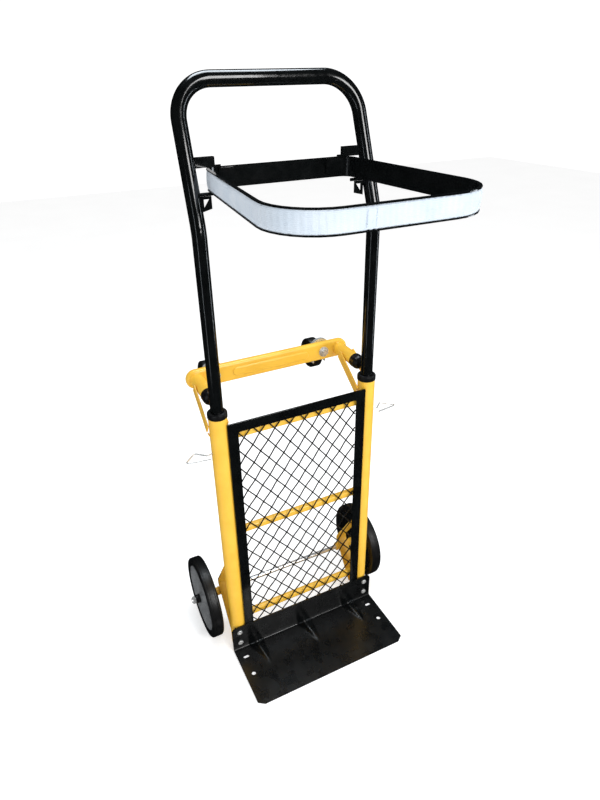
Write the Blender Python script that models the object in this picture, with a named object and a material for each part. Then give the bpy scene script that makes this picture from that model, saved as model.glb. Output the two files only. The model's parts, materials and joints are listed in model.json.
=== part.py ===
"""Multi-function hand truck: sack truck, platform cart and bag-ring stand in one.

Frame: +X to the viewer's right, +Y backwards (the wheels' side), +Z up. The origin is on the
floor at the middle of the whole object. Shapes are laid out with the side tubes' axes at y = 0
and set back by ORIGIN_Y when they are placed. All sizes are in metres.
"""
import math

import bmesh
import bpy
from mathutils import Matrix, Vector

GAP = 0.0003                 # clearance kept between touching pieces

ORIGIN_Y = 0.0507            # the side tubes stand this far behind the origin

# Side tubes and telescoping handle
TUBE_X = 0.150               # half the spacing of the side tubes
TUBE_R = 0.0165
TUBE_WALL = 0.0015
TUBE_BOTTOM = 0.006
TUBE_TOP = 0.576
LEG_R = 0.0113
LEG_WALL = 0.0015
LEG_BOTTOM = 0.320
LEG_BEND_Z = 0.889           # the handle leans back from this height
LEAN = math.radians(19.5)
GRIP_HALF = 0.1465           # above the bend the legs also close in to this
GRIP_Z = 1.083               # axis of the handle's top bar
CORNER_R = 0.056
COLLAR_R = 0.0178
COLLAR_H = 0.0115

# Cross bars and mesh panel
BAR_H = 0.0155
BAR_D = 0.0125
BAR_Y = -0.0015              # centre of the cross bars
BAR_HEIGHTS = (0.534, 0.3145, 0.0820)
PANEL_W = 0.279
PANEL_TOP = 0.564
PANEL_BOTTOM = 0.030
PANEL_BAR = 0.0195
PANEL_T = 0.003
PANEL_Y = -0.0160            # front face of the panel
WIRE_R = 0.0010
WIRE_TUCK = 0.004            # how far the wires run on behind the panel's bars
DIAMOND_W = 0.0300
DIAMOND_H = 0.0391
CROSSING_X = 0.0114          # one crossing of the lattice
CROSSING_Z = 0.5322
WIRE_SKEW = 0.038            # the rows of diamonds climb a little to the right

# Toe plate
TOE_W = 0.342
TOE_T = 0.003
TOE_BACK = -0.0168           # the flange's back face, against the tubes
TOE_FRONT = -0.1605
TOE_TOP = 0.067
TOE_BEND_R = 0.006
TOE_CORNER = 0.011
RIB_X = (-0.118, 0.0, 0.118)
TOE_BOLT_X = 0.1545
TOE_BOLT_Z = (0.021, 0.052)

# Main wheels, axle and brackets
WHEEL_R = 0.0884
WHEEL_W = 0.0247
WHEEL_FACE_X = 0.2075
WHEEL_Y = 0.0765
RIM_R = 0.0720
HUB_STAND = 0.0095           # the hub tube stands out past the outer face
AXLE_R = 0.005
SLEEVE_R = 0.0090
SLEEVE_X = (0.1335, 0.1808)
STRAP_W = 0.025
STRAP_T = 0.003
STRAP_TOP = (0.0182, 0.2140)  # (y, z) of the strap's centre line at the tube
STRAP_APEX = (0.0820, 0.1150)
STRAP_LOW = (0.0182, 0.0280)

# Rear carrier
REAR_Z = 0.5985
REAR_FRONT = 0.106
REAR_D = 0.014
REAR_H = 0.037
REAR_HALF = 0.169
ARM_R = 0.0125
ARM_FRONT = 0.0345
CAP_R = 0.0138
STRUT_T = 0.003
STRUT_W = 0.018
STRUT_TOP = (0.0790, 0.5995)
STRUT_LOW = (0.0045, 0.5530)

# Swivel casters
CASTER_X = 0.1145
CASTER_R = 0.031
CASTER_W = 0.022
CASTER_TRAIL = 0.0225
CASTER_AXLE_Y = 0.1585
RACE_R = 0.0225

# Bag ring
RING_TOP = 0.9705
RING_H = 0.030
RING_DROOP = math.radians(0.8)
RING_BACK = 0.0365
RING_FRONT = -0.288
RING_HALF_BACK = 0.119
RING_HALF_FRONT = 0.151
RING_R_BACK = 0.018
RING_R_FRONT = 0.068
STRIP_T = 0.0015
FLANGE = 0.0032
PIVOT_Y = 0.0345
PIVOT_Z = 0.9795
TAB_T = 0.008
ROD_R = 0.0025               # rods and gussets on the legs hold the ring level
GUSSET_INNER = 0.1212
TAB_INNER = 0.1070
TAB_TOP = 0.9852

PIN_Z = 0.5050


# ---------------------------------------------------------------- helpers

def clear_scene():
    for obj in list(bpy.data.objects):
        bpy.data.objects.remove(obj, do_unlink=True)


def material(name, colour, roughness, metallic=0.0):
    mat = bpy.data.materials.new(name)
    mat.use_nodes = True
    shader = mat.node_tree.nodes["Principled BSDF"]
    shader.inputs["Base Color"].default_value = (*colour, 1.0)
    shader.inputs["Roughness"].default_value = roughness
    shader.inputs["Metallic"].default_value = metallic
    return mat


def add_object(name, bm, mat, location=(0, 0, 0), smooth=True):
    bmesh.ops.recalc_face_normals(bm, faces=bm.faces)
    mesh = bpy.data.meshes.new(name)
    bm.to_mesh(mesh)
    bm.free()
    if smooth:
        mesh.shade_smooth()
        mesh.set_sharp_from_angle(angle=math.radians(35))
    mesh.materials.append(mat)
    obj = bpy.data.objects.new(name, mesh)
    obj.location = Vector(location) + Vector((0, ORIGIN_Y, 0))
    bpy.context.collection.objects.link(obj)
    return obj


def hide_helper(obj):
    obj.hide_render = True
    obj.display_type = "WIRE"


def combine(target, helper, operation):
    hide_helper(helper)
    mod = target.modifiers.new(operation.lower(), "BOOLEAN")
    mod.operation = operation
    mod.object = helper


def bridge(bm, ring_a, ring_b):
    count = len(ring_a)
    for i in range(count):
        j = (i + 1) % count
        bm.faces.new((ring_a[i], ring_a[j], ring_b[j], ring_b[i]))


def turned(profile, segments=20, closed=False, axis="Z"):
    """A lathe part: profile is a list of (radius, height) pairs."""
    bm = bmesh.new()
    turn = {"Z": Matrix(), "Y": Matrix.Rotation(-math.pi / 2, 4, "X"),
            "X": Matrix.Rotation(math.pi / 2, 4, "Y")}[axis]
    rings = []
    for radius, height in profile:
        ring = []
        for i in range(segments):
            angle = 2 * math.pi * (i + 0.5) / segments
            point = Vector((radius * math.cos(angle), radius * math.sin(angle), height))
            ring.append(bm.verts.new(turn @ point))
        rings.append(ring)
    for lower, upper in zip(rings, rings[1:]):
        bridge(bm, lower, upper)
    if closed:
        bridge(bm, rings[-1], rings[0])
    else:
        bm.faces.new(rings[0])
        bm.faces.new(rings[-1])
    return bm


def prism(outline, low, high, axis="Z"):
    """Extrude a 2D outline from low to high along an axis."""
    place = {"Z": lambda u, v, w: (u, v, w), "Y": lambda u, v, w: (u, w, v),
             "X": lambda u, v, w: (w, u, v)}[axis]
    bm = bmesh.new()
    first = [bm.verts.new(place(u, v, low)) for u, v in outline]
    last = [bm.verts.new(place(u, v, high)) for u, v in outline]
    bridge(bm, first, last)
    bm.faces.new(first)
    bm.faces.new(last)
    return bm


def box(low, high):
    outline = [(low[0], low[1]), (high[0], low[1]), (high[0], high[1]), (low[0], high[1])]
    return prism(outline, low[2], high[2])


def arc(centre, radius, start, stop, steps):
    """Points on an arc, angles in degrees."""
    points = []
    for i in range(steps + 1):
        angle = math.radians(start + (stop - start) * i / steps)
        points.append((centre[0] + radius * math.cos(angle), centre[1] + radius * math.sin(angle)))
    return points


def rounded_outline(corners, steps=6):
    """corners: (x, y, radius); returns the outline with each corner rounded."""
    points = []
    for i, (x, y, radius) in enumerate(corners):
        here = Vector((x, y))
        before = Vector(corners[i - 1][:2]) - here
        after = Vector(corners[(i + 1) % len(corners)][:2]) - here
        before.normalize()
        after.normalize()
        if radius == 0:
            points.append((x, y))
            continue
        half = before.angle(after) / 2
        start = here + before * (radius / math.tan(half))
        stop = here + after * (radius / math.tan(half))
        centre = here + (before + after).normalized() * (radius / math.sin(half))
        a0 = math.atan2(start.y - centre.y, start.x - centre.x)
        a1 = math.atan2(stop.y - centre.y, stop.x - centre.x)
        sweep = (a1 - a0 + math.pi) % (2 * math.pi) - math.pi
        for k in range(steps + 1):
            angle = a0 + sweep * k / steps
            points.append((centre.x + radius * math.cos(angle), centre.y + radius * math.sin(angle)))
    return points


def bent_path(corners, steps=7):
    """corners: (point, radius); a polyline with rounded inner corners, steps to a right angle."""
    points = [Vector(corners[0][0])]
    for i in range(1, len(corners) - 1):
        here = Vector(corners[i][0])
        radius = corners[i][1]
        before = (Vector(corners[i - 1][0]) - here).normalized()
        after = (Vector(corners[i + 1][0]) - here).normalized()
        half = before.angle(after) / 2
        reach = radius / math.tan(half)
        centre = here + (before + after).normalized() * (radius / math.sin(half))
        start = here + before * reach - centre
        stop = here + after * reach - centre
        bends = max(2, round(steps * start.angle(stop) / (math.pi / 2)))
        for k in range(bends + 1):
            points.append(centre + start.normalized().slerp(stop.normalized(), k / bends) * radius)
    points.append(Vector(corners[-1][0]))
    return points


def frames_along(points):
    """A side vector and a lift vector at each point, carried along without twist."""
    tangents = []
    for i in range(len(points)):
        ahead = points[min(i + 1, len(points) - 1)]
        behind = points[max(i - 1, 0)]
        tangents.append((ahead - behind).normalized())
    guide = Vector((1, 0, 0)) if abs(tangents[0].x) < 0.9 else Vector((0, 0, 1))
    side = tangents[0].cross(guide).normalized()
    result = []
    last = tangents[0]
    for tangent in tangents:
        side = last.rotation_difference(tangent) @ side
        side = (side - tangent * side.dot(tangent)).normalized()
        result.append((side, tangent.cross(side)))
        last = tangent
    return result


def swept_tube(points, radius, sides=16, bore=0.0):
    """A round bar or, with a bore, an open-ended tube along a path."""
    bm = bmesh.new()

    def rings_at(size, count):
        rings = []
        for point, (side, lift) in zip(points, frames_along(points)):
            ring = []
            for i in range(count):
                angle = 2 * math.pi * i / count
                ring.append(bm.verts.new(point + size * (math.cos(angle) * side + math.sin(angle) * lift)))
            rings.append(ring)
        for lower, upper in zip(rings, rings[1:]):
            bridge(bm, lower, upper)
        return rings

    outer = rings_at(radius, sides)
    if bore == 0.0:
        bm.faces.new(outer[0])
        bm.faces.new(outer[-1])
        return bm
    inner = rings_at(bore, sides)
    bridge(bm, outer[0], inner[0])
    bridge(bm, outer[-1], inner[-1])
    return bm


def swept_profile(outline, profile):
    """Sweep a closed profile of (outward offset, z) pairs round a closed flat outline."""
    bm = bmesh.new()
    count = len(outline)
    rings = []
    for i in range(count):
        here = Vector(outline[i])
        along = (Vector(outline[(i + 1) % count]) - Vector(outline[i - 1])).normalized()
        outward = Vector((along.y, -along.x))
        if outward.dot(here - Vector((0, -0.12))) < 0:
            outward.negate()
        rings.append([bm.verts.new((*(here + outward * off), z)) for off, z in profile])
    for i in range(count):
        bridge(bm, rings[i], rings[(i + 1) % count])
    return bm


def both_sides():
    return (("left", -1), ("right", 1))


def carry(name, place, children):
    """An empty on a joint's axis; the pieces that the joint moves are its children."""
    empty = bpy.data.objects.new(name, None)
    empty.location = Vector(place) + Vector((0, ORIGIN_Y, 0))
    bpy.context.collection.objects.link(empty)
    for child in children:
        obj = bpy.data.objects[child]
        obj.parent = empty
        obj.matrix_parent_inverse = Matrix.Translation(-empty.location)
    return empty


# ---------------------------------------------------------------- frame

def build_side_tubes(mats):
    for side, sign in both_sides():
        path = [Vector((sign * TUBE_X, 0, TUBE_BOTTOM)), Vector((sign * TUBE_X, 0, TUBE_TOP))]
        tube = add_object(f"side_tube_{side}", swept_tube(path, TUBE_R, 24, TUBE_R - TUBE_WALL), mats["yellow"])
        hole = turned([(0.0030, -0.030), (0.0030, 0.030)], 12, axis="X")
        hole = add_object(f"pin_hole_{side}", hole, mats["yellow"], (sign * TUBE_X, 0, PIN_Z))
        combine(tube, hole, "DIFFERENCE")
        for i, z in enumerate(TOE_BOLT_Z):
            drill = turned([(0.0036, -0.010), (0.0036, 0.010)], 12, axis="Y")
            drill = add_object(f"tube_drill_{side}_{i}", drill, mats["yellow"], (sign * TOE_BOLT_X, -TUBE_R, z))
            combine(tube, drill, "DIFFERENCE")


def build_collars(mats):
    """Plastic guide bushes on the tube tops, with a rounded lip and an inner skirt."""
    lip = COLLAR_R
    inner = LEG_R + GAP
    skirt = TUBE_R - TUBE_WALL - GAP
    base = GAP
    profile = [(inner, -0.030), (skirt, -0.030), (skirt, base), (lip - 0.001, base), (lip, base + 0.001)]
    top = arc((lip - 0.0035, base + COLLAR_H - 0.0035), 0.0035, 0, 90, 3)
    profile += top + [(inner + 0.0008, base + COLLAR_H), (inner, base + COLLAR_H - 0.0008)]
    for side, sign in both_sides():
        add_object(f"collar_{side}", turned(profile, 20, closed=True), mats["black_plastic"],
                   (sign * TUBE_X, 0, TUBE_TOP))


def build_cross_bars(mats):
    """Flattened tubes between the side tubes; their ends stop at the tubes' walls."""
    for name, z in zip(("top", "middle", "bottom"), BAR_HEIGHTS):
        outline = rounded_outline([(-BAR_D / 2, -BAR_H / 2, 0.005), (BAR_D / 2, -BAR_H / 2, 0.005),
                                   (BAR_D / 2, BAR_H / 2, 0.005), (-BAR_D / 2, BAR_H / 2, 0.005)], 4)
        bar = prism([(y + BAR_Y, v + z) for y, v in outline], -TUBE_X, TUBE_X, "X")
        bar = add_object(f"cross_bar_{name}", bar, mats["yellow"])
        for side, sign in both_sides():
            cut = turned([(TUBE_R + GAP, -0.02), (TUBE_R + GAP, 0.02)], 24)
            cut = add_object(f"bar_cut_{name}_{side}", cut, mats["yellow"], (sign * TUBE_X, 0, z))
            combine(bar, cut, "DIFFERENCE")


def build_panel(mats):
    half = PANEL_W / 2
    back = PANEL_Y + PANEL_T
    frame = prism([(-half, PANEL_BOTTOM), (half, PANEL_BOTTOM), (half, PANEL_TOP), (-half, PANEL_TOP)],
                  PANEL_Y, back, "Y")
    frame = add_object("panel_frame", frame, mats["black"], smooth=False)
    window = box((-half + PANEL_BAR, PANEL_Y - 0.01, PANEL_BOTTOM + PANEL_BAR),
                 (half - PANEL_BAR, back + 0.01, PANEL_TOP - PANEL_BAR))
    combine(frame, add_object("panel_window", window, mats["black"]), "DIFFERENCE")
    build_wire_mesh(mats, back + GAP)


def wire_crossings(edge, low, high):
    """Numbers (i, j) of the crossings that lie inside the panel, with their places."""
    found = {}
    reach = int((edge + high - low) / DIAMOND_W) + 4
    for i in range(-reach, reach):
        for j in range(-reach, reach):
            x = CROSSING_X + (i + j) * DIAMOND_W / 2
            z = CROSSING_Z + (i - j) * DIAMOND_H / 2 + (i + j) * DIAMOND_W / 2 * WIRE_SKEW
            if abs(x) < edge and low < z < high:
                found[(i, j)] = Vector((x, z))
    return found


def build_wire_mesh(mats, front):
    """A welded lattice of crossing wires; every wire runs on behind the panel's bars."""
    edge = PANEL_W / 2 - PANEL_BAR + WIRE_TUCK
    low = PANEL_BOTTOM + PANEL_BAR - WIRE_TUCK
    high = PANEL_TOP - PANEL_BAR + WIRE_TUCK
    clear = 2 * WIRE_R
    crossings = wire_crossings(edge - clear, low + clear, high - clear)
    climb = DIAMOND_W * WIRE_SKEW
    up = Vector((DIAMOND_W, climb + DIAMOND_H)).normalized()
    down = Vector((DIAMOND_W, climb - DIAMOND_H)).normalized()
    spread = WIRE_R / abs(up.cross(down))
    corner_steps = {"up": up * spread, "down": down * spread}
    bm = bmesh.new()
    layers = (front, front + 2 * WIRE_R)
    verts = {}

    def vert(key, place):
        if key not in verts:
            verts[key] = [bm.verts.new((place.x, y, place.y)) for y in layers]
        return verts[key]

    def corner(cell, a, b):
        place = crossings[cell] + corner_steps["up"] * a + corner_steps["down"] * b
        return vert((cell, a, b), place)

    def wall(first, second):
        bm.faces.new((first[0], second[0], second[1], first[1]))

    def flat(four):
        for layer in (0, 1):
            bm.faces.new([v[layer] for v in four])

    for cell, place in crossings.items():
        i, j = cell
        flat([corner(cell, 1, 1), corner(cell, 1, -1), corner(cell, -1, -1), corner(cell, -1, 1)])
        for step, direction, sides in (((1, 0), up, ((1, 1), (1, -1))), ((-1, 0), -up, ((-1, -1), (-1, 1))),
                                       ((0, 1), down, ((1, 1), (-1, 1))), ((0, -1), -down, ((-1, -1), (1, -1)))):
            start = [corner(cell, *side) for side in sides]
            neighbour = (i + step[0], j + step[1])
            if neighbour in crossings:
                if step in ((-1, 0), (0, -1)):
                    continue
                mirror = [(-a, b) if step == (1, 0) else (a, -b) for a, b in sides]
                stop = [corner(neighbour, *side) for side in mirror]
            else:
                length = stub_length(place, direction, edge, low, high)
                stop = []
                for side, (a, b) in enumerate(sides):
                    offset = corner_steps["down"] * b if step[1] == 0 else corner_steps["up"] * a
                    stop.append(vert((cell, step, side), place + direction * length + offset))
                wall(stop[0], stop[1])
            flat([start[0], start[1], stop[1], stop[0]])
            wall(start[0], stop[0])
            wall(start[1], stop[1])
    add_object("wire_mesh", bm, mats["wire"], smooth=False)


def stub_length(place, direction, edge, low, high):
    """How far a wire runs from its last crossing to the end of the lattice."""
    to_side = (math.copysign(edge, direction.x) - place.x) / direction.x
    to_end = ((high if direction.y > 0 else low) - place.y) / direction.y
    return min(to_side, to_end)


def build_toe_plate(mats):
    """A pressed angle plate: flange on the tubes, bend, floor plate and three stiffening ribs."""
    half = TOE_W / 2
    face = TOE_BACK - TOE_T
    outer = TOE_BEND_R
    inner = TOE_BEND_R - TOE_T
    centre = (TOE_BACK - outer, outer)
    side = [(TOE_FRONT, 0.0)] + arc(centre, outer, -90, 0, 6) + [(TOE_BACK, TOE_TOP), (face, TOE_TOP)]
    side += arc(centre, inner, 0, -90, 6) + [(TOE_FRONT, TOE_T)]
    plate = add_object("toe_plate", prism(side, -half, half, "X"), mats["black"])
    for i, x in enumerate(RIB_X):
        rib = toe_rib(x, face)
        combine(plate, add_object(f"toe_rib_{i}", rib, mats["black"]), "UNION")
    for name, sign in both_sides():
        for i, z in enumerate(TOE_BOLT_Z):
            hole = turned([(0.0036, -0.01), (0.0036, 0.01)], 12, axis="Y")
            hole = add_object(f"toe_bolt_hole_{name}_{i}", hole, mats["black"], (sign * TOE_BOLT_X, face, z))
            combine(plate, hole, "DIFFERENCE")
        slot = prism(stadium(0.013, 0.007), -0.01, 0.02)
        slot = add_object(f"toe_slot_{name}", slot, mats["black"], (sign * 0.1525, -0.0440, 0))
        combine(plate, slot, "DIFFERENCE")
        hole = turned([(0.0046, -0.01), (0.0046, 0.02)], 16)
        hole = add_object(f"toe_hole_{name}", hole, mats["black"], (sign * 0.1535, -0.0880, 0))
        combine(plate, hole, "DIFFERENCE")
        corner = toe_corner(sign * half, TOE_FRONT, sign)
        combine(plate, add_object(f"toe_corner_{name}", corner, mats["black"]), "DIFFERENCE")
        corner = toe_top_corner(sign * half, sign)
        combine(plate, add_object(f"toe_top_corner_{name}", corner, mats["black"]), "DIFFERENCE")


def toe_rib(x, face):
    """A rounded ridge across the bend, highest at the middle of the bend."""
    half = 0.013
    top = (face + 0.001, 0.040)
    tip = (-0.078, TOE_T - 0.0015)
    foot = (face + 0.001, TOE_T - 0.0015)
    bm = bmesh.new()
    ridge = [bm.verts.new((x + s * 0.0035, *top)) for s in (-1, 1)]
    front = [bm.verts.new((x + s * 0.0035, *tip)) for s in (-1, 1)]
    base = [bm.verts.new((x + s * half, *foot)) for s in (-1, 1)]
    bm.faces.new((ridge[0], ridge[1], front[1], front[0]))
    bm.faces.new((ridge[0], front[0], base[0]))
    bm.faces.new((ridge[1], base[1], front[1]))
    bm.faces.new((ridge[0], base[0], base[1], ridge[1]))
    bm.faces.new((front[0], front[1], base[1], base[0]))
    return bm


def toe_corner(x, y, sign):
    """What is cut away at a front corner."""
    size = TOE_CORNER
    outline = [(x + sign * 0.005, y - 0.005), (x - sign * size, y - 0.005), (x - sign * size, y)]
    outline += [(x, y + size), (x + sign * 0.005, y + size)]
    return prism(outline, -0.01, 0.02)


def toe_top_corner(x, sign):
    """What is cut away at a top corner of the flange, leaving it rounded."""
    size = TOE_CORNER
    points = arc((x - sign * size, TOE_TOP - size), size, 0 if sign > 0 else 180, 90, 6)
    outline = points + [(x - sign * size, TOE_TOP + 0.005), (x + sign * 0.005, TOE_TOP + 0.005)]
    outline += [(x + sign * 0.005, TOE_TOP - size)]
    return prism(outline, TOE_BACK - 0.02, TOE_BACK + 0.01, "Y")


def stadium(length, width, steps=6):
    reach = (length - width) / 2
    right = arc((reach, 0), width / 2, -90, 90, steps)
    left = arc((-reach, 0), width / 2, 90, 270, steps)
    return right + left


def build_toe_bolts(mats):
    """Four bolts: a domed head on the flange and a shank into the tube."""
    seat = TOE_BACK - TOE_T - GAP
    profile = [(0.0032, 0.0095), (0.0032, 0.0), (0.0058, 0.0), (0.0054, -0.0022), (0.0028, -0.0036)]
    for side, sign in both_sides():
        for level, z in zip(("low", "high"), TOE_BOLT_Z):
            bolt = turned(profile, 12, axis="Y")
            add_object(f"toe_bolt_{side}_{level}", bolt, mats["zinc"], (sign * TOE_BOLT_X, seat, z))


# ---------------------------------------------------------------- wheels

def build_wheel_brackets(mats):
    """Flat straps bent to a V behind each side tube, carrying a sleeve for the axle."""
    path = bent_path([((0, *STRAP_TOP), 0), ((0, *STRAP_APEX), 0.014), ((0, *STRAP_LOW), 0)], 8)
    outline = thick_line([(p.y, p.z) for p in path], STRAP_T)
    sleeve_low, sleeve_high = SLEEVE_X
    for side, sign in both_sides():
        strap = prism(outline, sign * TUBE_X - STRAP_W / 2, sign * TUBE_X + STRAP_W / 2, "X")
        add_object(f"wheel_bracket_{side}", strap, mats["yellow"])
        length = sleeve_high - sleeve_low
        bore = AXLE_R + GAP
        sleeve = turned([(bore, 0), (SLEEVE_R, 0), (SLEEVE_R, length), (bore, length)], 16, True, "X")
        start = sleeve_low if sign > 0 else -sleeve_high
        add_object(f"axle_sleeve_{side}", sleeve, mats["yellow"], (start, WHEEL_Y, WHEEL_R))


def thick_line(points, thickness):
    """The outline of a strap of one thickness along a flat path."""
    left = []
    right = []
    for i, point in enumerate(points):
        ahead = Vector(points[min(i + 1, len(points) - 1)])
        behind = Vector(points[max(i - 1, 0)])
        along = (ahead - behind).normalized()
        normal = Vector((-along.y, along.x)) * thickness / 2
        left.append(tuple(Vector(point) + normal))
        right.append(tuple(Vector(point) - normal))
    return left + right[::-1]


def build_axle(mats):
    half = WHEEL_FACE_X + HUB_STAND + 0.0085
    add_object("axle", turned([(AXLE_R, -half), (AXLE_R, half)], 16, axis="X"), mats["chrome"],
               (0, WHEEL_Y, WHEEL_R))
    for side, sign in both_sides():
        place = (sign * (WHEEL_FACE_X + HUB_STAND + 0.0008), WHEEL_Y, WHEEL_R)
        hex_nut(f"axle_nut_{side}", 0.0085, 0.0062, AXLE_R + GAP, mats["zinc"], place, "X", sign)


def hex_nut(name, radius, height, bore, mat, place, axis, sign):
    """A hexagon nut standing on its place along the axis, with the outer corners turned off."""
    profile = [(radius, 0), (radius, sign * height * 0.78), (radius * 0.9, sign * height)]
    nut = add_object(name, turned(profile, 6, axis=axis), mat, place, smooth=False)
    drill = turned([(bore, -2 * height), (bore, 2 * height)], 16, axis=axis)
    combine(nut, add_object(f"{name}_drill", drill, mat, place), "DIFFERENCE")


def build_wheels(mats):
    """Solid rubber tyres on a steel disc with a rim and a hub tube."""
    half = WHEEL_W / 2
    outer = WHEEL_R
    tyre = [(RIM_R + GAP, -half + 0.002), (outer - 0.0045, -half), (outer - 0.0008, -half + 0.0042)]
    tyre += [(outer, -half + 0.009), (outer, half - 0.009), (outer - 0.0008, half - 0.0042)]
    tyre += [(outer - 0.0045, half), (RIM_R + GAP, half - 0.002)]
    bore = AXLE_R + GAP
    rim = RIM_R
    web = 0.0025
    dish = [(0.0125, web), (rim - 0.008, web), (rim - 0.003, half - 0.0045), (rim, half - 0.006)]
    inward = [(bore, half + 0.001), (0.011, half + 0.001)] + dish
    outward = [(bore, half + HUB_STAND), (0.0095, half + HUB_STAND), (0.0110, half)] + dish
    for side, sign in both_sides():
        disc = [(radius, -sign * x) for radius, x in inward] + [(radius, sign * x) for radius, x in outward[::-1]]
        centre = (sign * (WHEEL_FACE_X - half), WHEEL_Y, WHEEL_R)
        add_object(f"wheel_tyre_{side}", turned(tyre, 40, True, "X"), mats["rubber"], centre)
        add_object(f"wheel_hub_{side}", turned(disc, 28, True, "X"), mats["hub"], centre)


# ---------------------------------------------------------------- rear carrier

def build_rear_carrier(mats):
    half = REAR_HALF
    low = REAR_Z - REAR_H / 2
    high = REAR_Z + REAR_H / 2
    outline = rounded_outline([(-half, low, 0.018), (half, low, 0.018), (half, high, 0.018),
                               (-half, high, 0.018)], 6)
    bar = prism(outline, REAR_FRONT, REAR_FRONT + REAR_D, "Y")
    bar = add_object("rear_cross_bar", bar, mats["yellow"])
    bead = prism([(x, z + REAR_Z) for x, z in stadium(0.160, 0.018)], REAR_FRONT - 0.0025, REAR_FRONT + 0.002, "Y")
    combine(bar, add_object("rear_bead", bead, mats["yellow"]), "UNION")
    for side, sign in both_sides():
        hole = turned([(0.0045, -0.03), (0.0045, 0.03)], 12, axis="Y")
        hole = add_object(f"stem_hole_{side}", hole, mats["yellow"], (sign * CASTER_X, REAR_FRONT, REAR_Z))
        combine(bar, hole, "DIFFERENCE")
        length = REAR_FRONT - GAP - ARM_FRONT
        arm = turned([(ARM_R, 0), (ARM_R, length)], 20, axis="Y")
        add_object(f"rear_arm_{side}", arm, mats["yellow"], (sign * TUBE_X, ARM_FRONT, REAR_Z))
        build_arm_cap(mats, side, sign)
        for where, inward in (("inner", -1), ("outer", 1)):
            build_strut(mats, side, sign, where, inward)


def build_arm_cap(mats, side, sign):
    """A domed plastic cap pushed over the arm's front end."""
    inner = ARM_R + GAP
    dome = [(CAP_R * math.cos(math.radians(a)), -0.0035 - 0.011 * math.sin(math.radians(a)))
            for a in (76, 52, 28, 6)]
    profile = dome + [(CAP_R, 0.0085), (inner, 0.0085), (inner, -GAP)]
    add_object(f"arm_cap_{side}", turned(profile, 18, axis="Y"), mats["black_plastic"],
               (sign * TUBE_X, ARM_FRONT, REAR_Z))


def build_strut(mats, side, sign, where, inward):
    """A flat bar from the arm's flank down to the side tube's flank."""
    top = Vector((0.0, *STRUT_TOP))
    low = Vector((0.0, *STRUT_LOW))
    along = (low - top).normalized()
    across = Vector((0, -along.z, along.y)) * (STRUT_W / 2)
    x_top = ARM_R + GAP
    x_low = TUBE_R + GAP
    bm = bmesh.new()
    corners = []
    for end, offset in ((top, x_top), (low, x_low)):
        for thick in (0.0, STRUT_T):
            x = sign * TUBE_X + sign * inward * (offset + thick)
            for s in (-1, 1):
                point = end + across * s
                corners.append(bm.verts.new((x, point.y, point.z)))
    a, b, c, d, e, f, g, h = corners
    for quad in ((a, b, d, c), (e, g, h, f), (a, e, f, b), (c, d, h, g), (a, c, g, e), (b, f, h, d)):
        bm.faces.new(quad)
    add_object(f"strut_{side}_{where}", bm, mats["yellow"], smooth=False)


def build_casters(mats):
    """Swivel casters: stem bolt through the rear bar, race discs, fork and wheel."""
    back = REAR_FRONT + REAR_D
    axle_z = REAR_Z - CASTER_TRAIL
    for side, sign in both_sides():
        x = sign * CASTER_X
        stem = [(0.0040, -REAR_D - 0.0085), (0.0040, 0.0)]
        stem = turned(stem + [(RACE_R, GAP), (RACE_R, 0.0025), (0.015, 0.0036)], 20, axis="Y")
        add_object(f"caster_stem_{side}", stem, mats["zinc"], (x, back, REAR_Z))
        washer = [(0.0043, -0.0014), (0.0105, -0.0014), (0.0105, 0.0), (0.0043, 0.0)]
        washer = turned(washer, 14, True, "Y")
        add_object(f"caster_washer_{side}", washer, mats["zinc"], (x, REAR_FRONT - GAP, REAR_Z))
        hex_nut(f"caster_nut_{side}", 0.0080, 0.0058, 0.0043, mats["zinc"],
                (x, REAR_FRONT - 2 * GAP - 0.0014, REAR_Z), "Y", -1)
        build_fork(mats, side, x, back, axle_z)
        wheel = caster_wheel_profile()
        add_object(f"caster_wheel_{side}", turned(wheel, 24, True, "X"), mats["rubber"],
                   (x, CASTER_AXLE_Y, axle_z))
        half = CASTER_W / 2 + 0.0042
        pin = [(0.0048, -half - 0.0020), (0.0048, -half), (0.0025, -half), (0.0025, half), (0.0048, half),
               (0.0048, half + 0.0020)]
        add_object(f"caster_axle_{side}", turned(pin, 12, axis="X"), mats["zinc"],
                   (x, CASTER_AXLE_Y, axle_z))


def caster_wheel_profile():
    half = CASTER_W / 2
    r = CASTER_R
    side = [(0.0028, half), (0.008, half), (0.009, half - 0.002), (0.0175, half - 0.002), (0.0185, half),
            (r - 0.003, half), (r, half - 0.003)]
    return [(radius, -x) for radius, x in side] + side[::-1]


def build_fork(mats, side, x, back, axle_z):
    """Pressed fork: a round crown behind the race and two cheeks down to the axle."""
    crown_low = back + 0.0038
    crown_high = back + 0.0069
    fork = turned([(RACE_R, 0.0), (RACE_R, crown_high - crown_low)], 20, axis="Y")
    fork = add_object(f"caster_fork_{side}", fork, mats["zinc"], (x, crown_low, REAR_Z))
    inner = CASTER_W / 2 + 0.0010
    outline = [(crown_low + 0.001, REAR_Z + 0.013), (crown_low + 0.001, axle_z - 0.009)]
    outline += arc((CASTER_AXLE_Y, axle_z), 0.008, -90, 60, 6)
    for i, s in enumerate((-1, 1)):
        cheek = prism(outline, min(s * inner, s * (inner + 0.0022)), max(s * inner, s * (inner + 0.0022)), "X")
        cheek = add_object(f"fork_cheek_{side}_{i}", cheek, mats["zinc"], (x, 0, 0))
        combine(fork, cheek, "UNION")
    hole = turned([(0.0028, -0.03), (0.0028, 0.03)], 12, axis="X")
    hole = add_object(f"fork_hole_{side}", hole, mats["zinc"], (x, CASTER_AXLE_Y, axle_z))
    combine(fork, hole, "DIFFERENCE")


# ---------------------------------------------------------------- handle

def leg_axis_y(z):
    return max(0.0, (z - LEG_BEND_Z) * math.tan(LEAN))


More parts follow.
